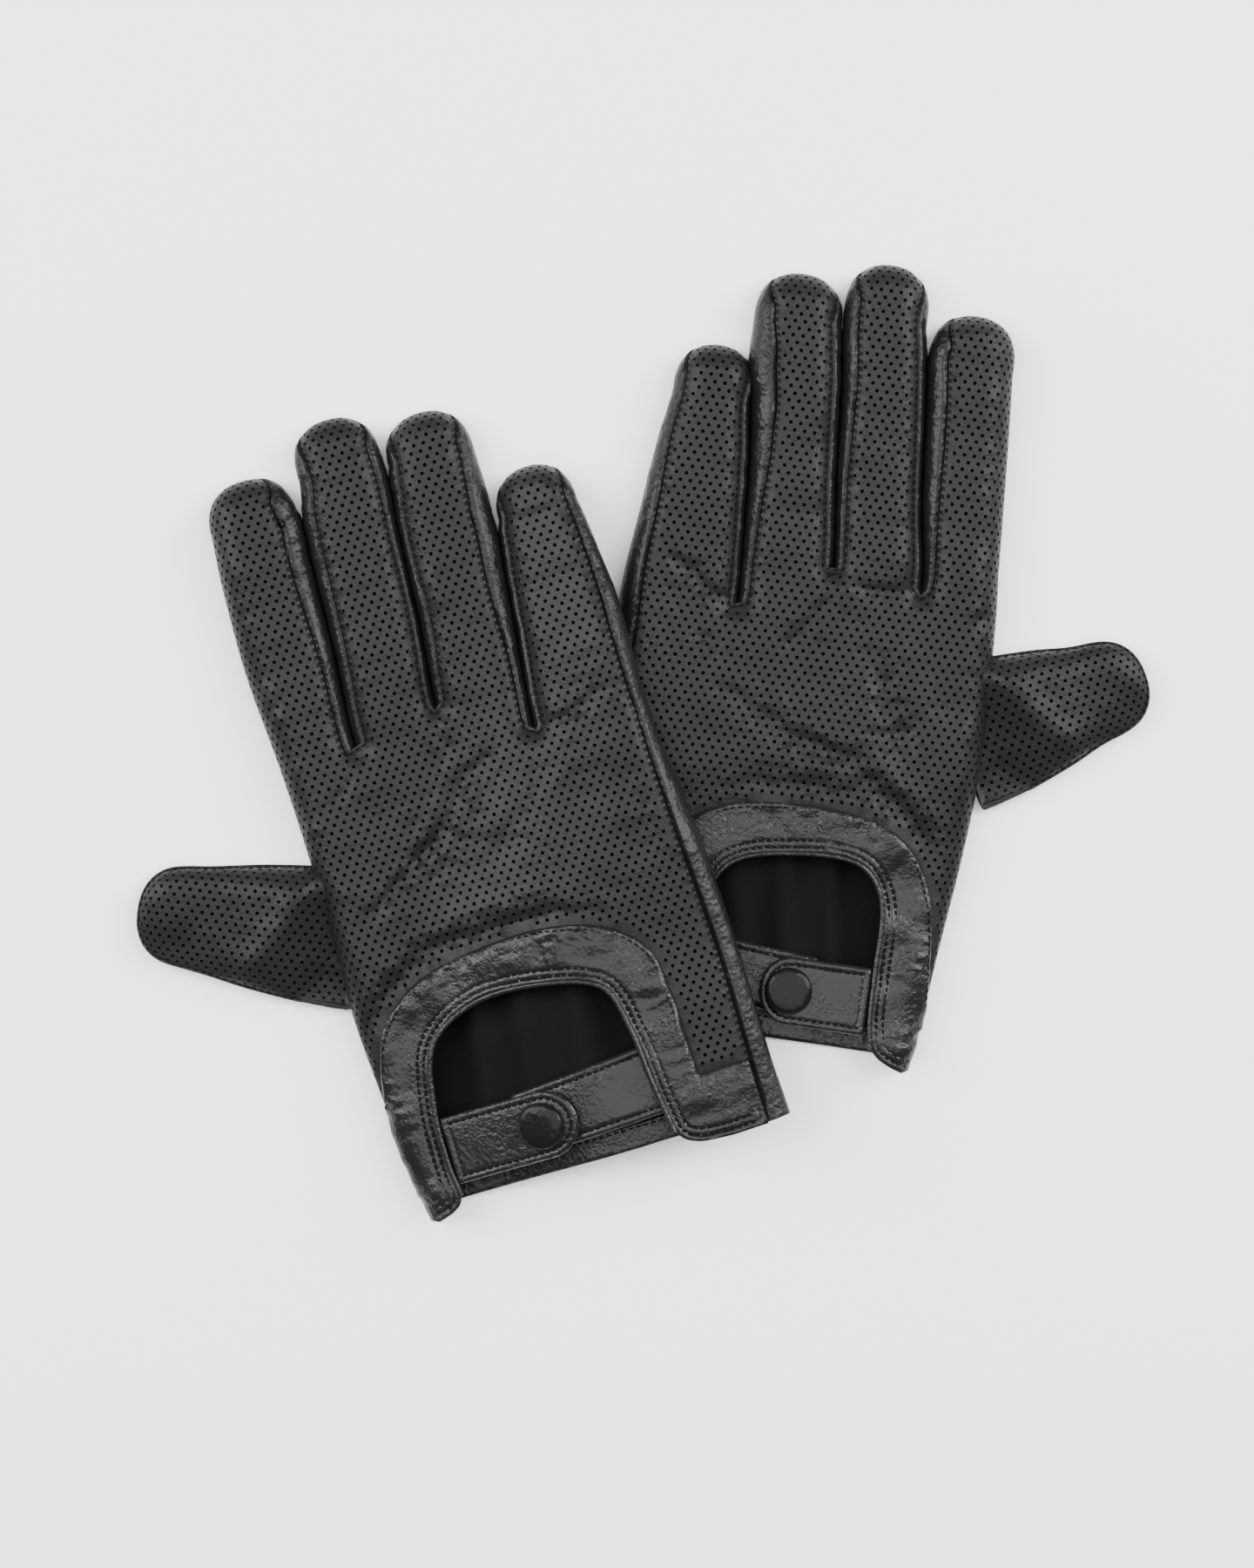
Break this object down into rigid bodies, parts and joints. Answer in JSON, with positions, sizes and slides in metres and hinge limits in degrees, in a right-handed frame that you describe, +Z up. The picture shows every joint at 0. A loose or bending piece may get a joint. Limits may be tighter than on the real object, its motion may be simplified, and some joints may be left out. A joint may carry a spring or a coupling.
{
  "type": "pair of leather driving gloves",
  "caption": "Pair of leather driving gloves with perforated backs, open wrist cut-outs and press-stud wrist straps, lying palm down, one partly over the other.",
  "frame": {"origin": "centre of the pair's outline, on the surface that the gloves lie on", "axes": "+Z up out of the back of the hands, +Y towards the fingertips of the pair, +X towards the left glove's thumb"},
  "size_m": [0.3026, 0.2862, 0.0265],
  "materials": {
    "perforated_leather": "matte perforated lambskin",
    "smooth_leather": "semi-gloss pebbled lambskin",
    "cap_leather": "skived lambskin stretched over the cap",
    "lining_cloth": "black twill",
    "snap_metal": "black lacquered brass"
  },
  "bodies": {
    "left_hand": {"left_palm_panel": "smooth_leather", "left_back_panel": "perforated_leather", "left_outseam_strip": "smooth_leather", "left_opening_trim": "smooth_leather", "left_opening_binding": "smooth_leather", "left_cuff_hem": "smooth_leather", "left_palm_lining": "lining_cloth", "left_back_lining": "lining_cloth", "left_strap_base": "smooth_leather", "left_snap_stud": "snap_metal", "left_stud_rivet": "snap_metal"},
    "left_fingers": {"left_finger_palms": "smooth_leather", "left_finger_backs": "perforated_leather", "left_fourchette_index_middle": "smooth_leather", "left_fourchette_middle_ring": "smooth_leather", "left_fourchette_ring_little": "smooth_leather", "left_little_side_strip": "smooth_leather", "left_finger_linings": "lining_cloth"},
    "left_thumb": {"left_thumb_back": "perforated_leather", "left_thumb_palm": "smooth_leather", "left_thumb_lining": "lining_cloth"},
    "left_strap": {"left_strap_tab": "smooth_leather", "left_snap_cap": "snap_metal", "left_cap_cover": "cap_leather", "left_snap_socket": "snap_metal"},
    "right_hand": {"right_palm_panel": "smooth_leather", "right_back_panel": "perforated_leather", "right_outseam_strip": "smooth_leather", "right_opening_trim": "smooth_leather", "right_opening_binding": "smooth_leather", "right_cuff_hem": "smooth_leather", "right_palm_lining": "lining_cloth", "right_back_lining": "lining_cloth", "right_strap_base": "smooth_leather", "right_snap_stud": "snap_metal", "right_stud_rivet": "snap_metal"},
    "right_fingers": {"right_finger_palms": "smooth_leather", "right_finger_backs": "perforated_leather", "right_fourchette_index_middle": "smooth_leather", "right_fourchette_middle_ring": "smooth_leather", "right_fourchette_ring_little": "smooth_leather", "right_little_side_strip": "smooth_leather", "right_finger_linings": "lining_cloth"},
    "right_thumb": {"right_thumb_back": "perforated_leather", "right_thumb_palm": "smooth_leather", "right_thumb_lining": "lining_cloth"},
    "right_strap": {"right_strap_tab": "smooth_leather", "right_snap_cap": "snap_metal", "right_cap_cover": "cap_leather", "right_snap_socket": "snap_metal"}
  },
  "joints": [
    {"name": "right_glove_lift", "type": "slide", "parent": "left_hand", "child": "right_hand", "axis": [0, 0, 1], "range_m": [0, 0.12]},
    {"name": "left_fingers_bend", "type": "hinge", "parent": "left_hand", "child": "left_fingers", "pos_m": [0.04961, 0.03784, 0.0149], "axis": [0.9998, -0.0194, 0], "range_deg": [0, 30]},
    {"name": "left_thumb_swing", "type": "hinge", "parent": "left_hand", "child": "left_thumb", "pos_m": [0.10377, 0.00321, 0.006], "axis": [0, 0, 1], "range_deg": [-8, 8]},
    {"name": "left_strap_open", "type": "hinge", "parent": "left_hand", "child": "left_strap", "pos_m": [0.06706, -0.07763, 0.0116], "axis": [0.1444, 0.9895, 0], "range_deg": [0, 140]},
    {"name": "right_fingers_bend", "type": "hinge", "parent": "right_hand", "child": "right_fingers", "pos_m": [-0.05188, -0.00339, 0.02175], "axis": [0.9788, 0.166, 0.1204], "range_deg": [0, 30]},
    {"name": "right_thumb_swing", "type": "hinge", "parent": "right_hand", "child": "right_thumb", "pos_m": [-0.09471, -0.05858, 0.006], "axis": [0, 0, 1], "range_deg": [-8, 8]},
    {"name": "right_strap_open", "type": "hinge", "parent": "right_hand", "child": "right_strap", "pos_m": [-0.05804, -0.12213, 0.0116], "axis": [0.2924, -0.9563, 0], "range_deg": [0, 140]}
  ]
}
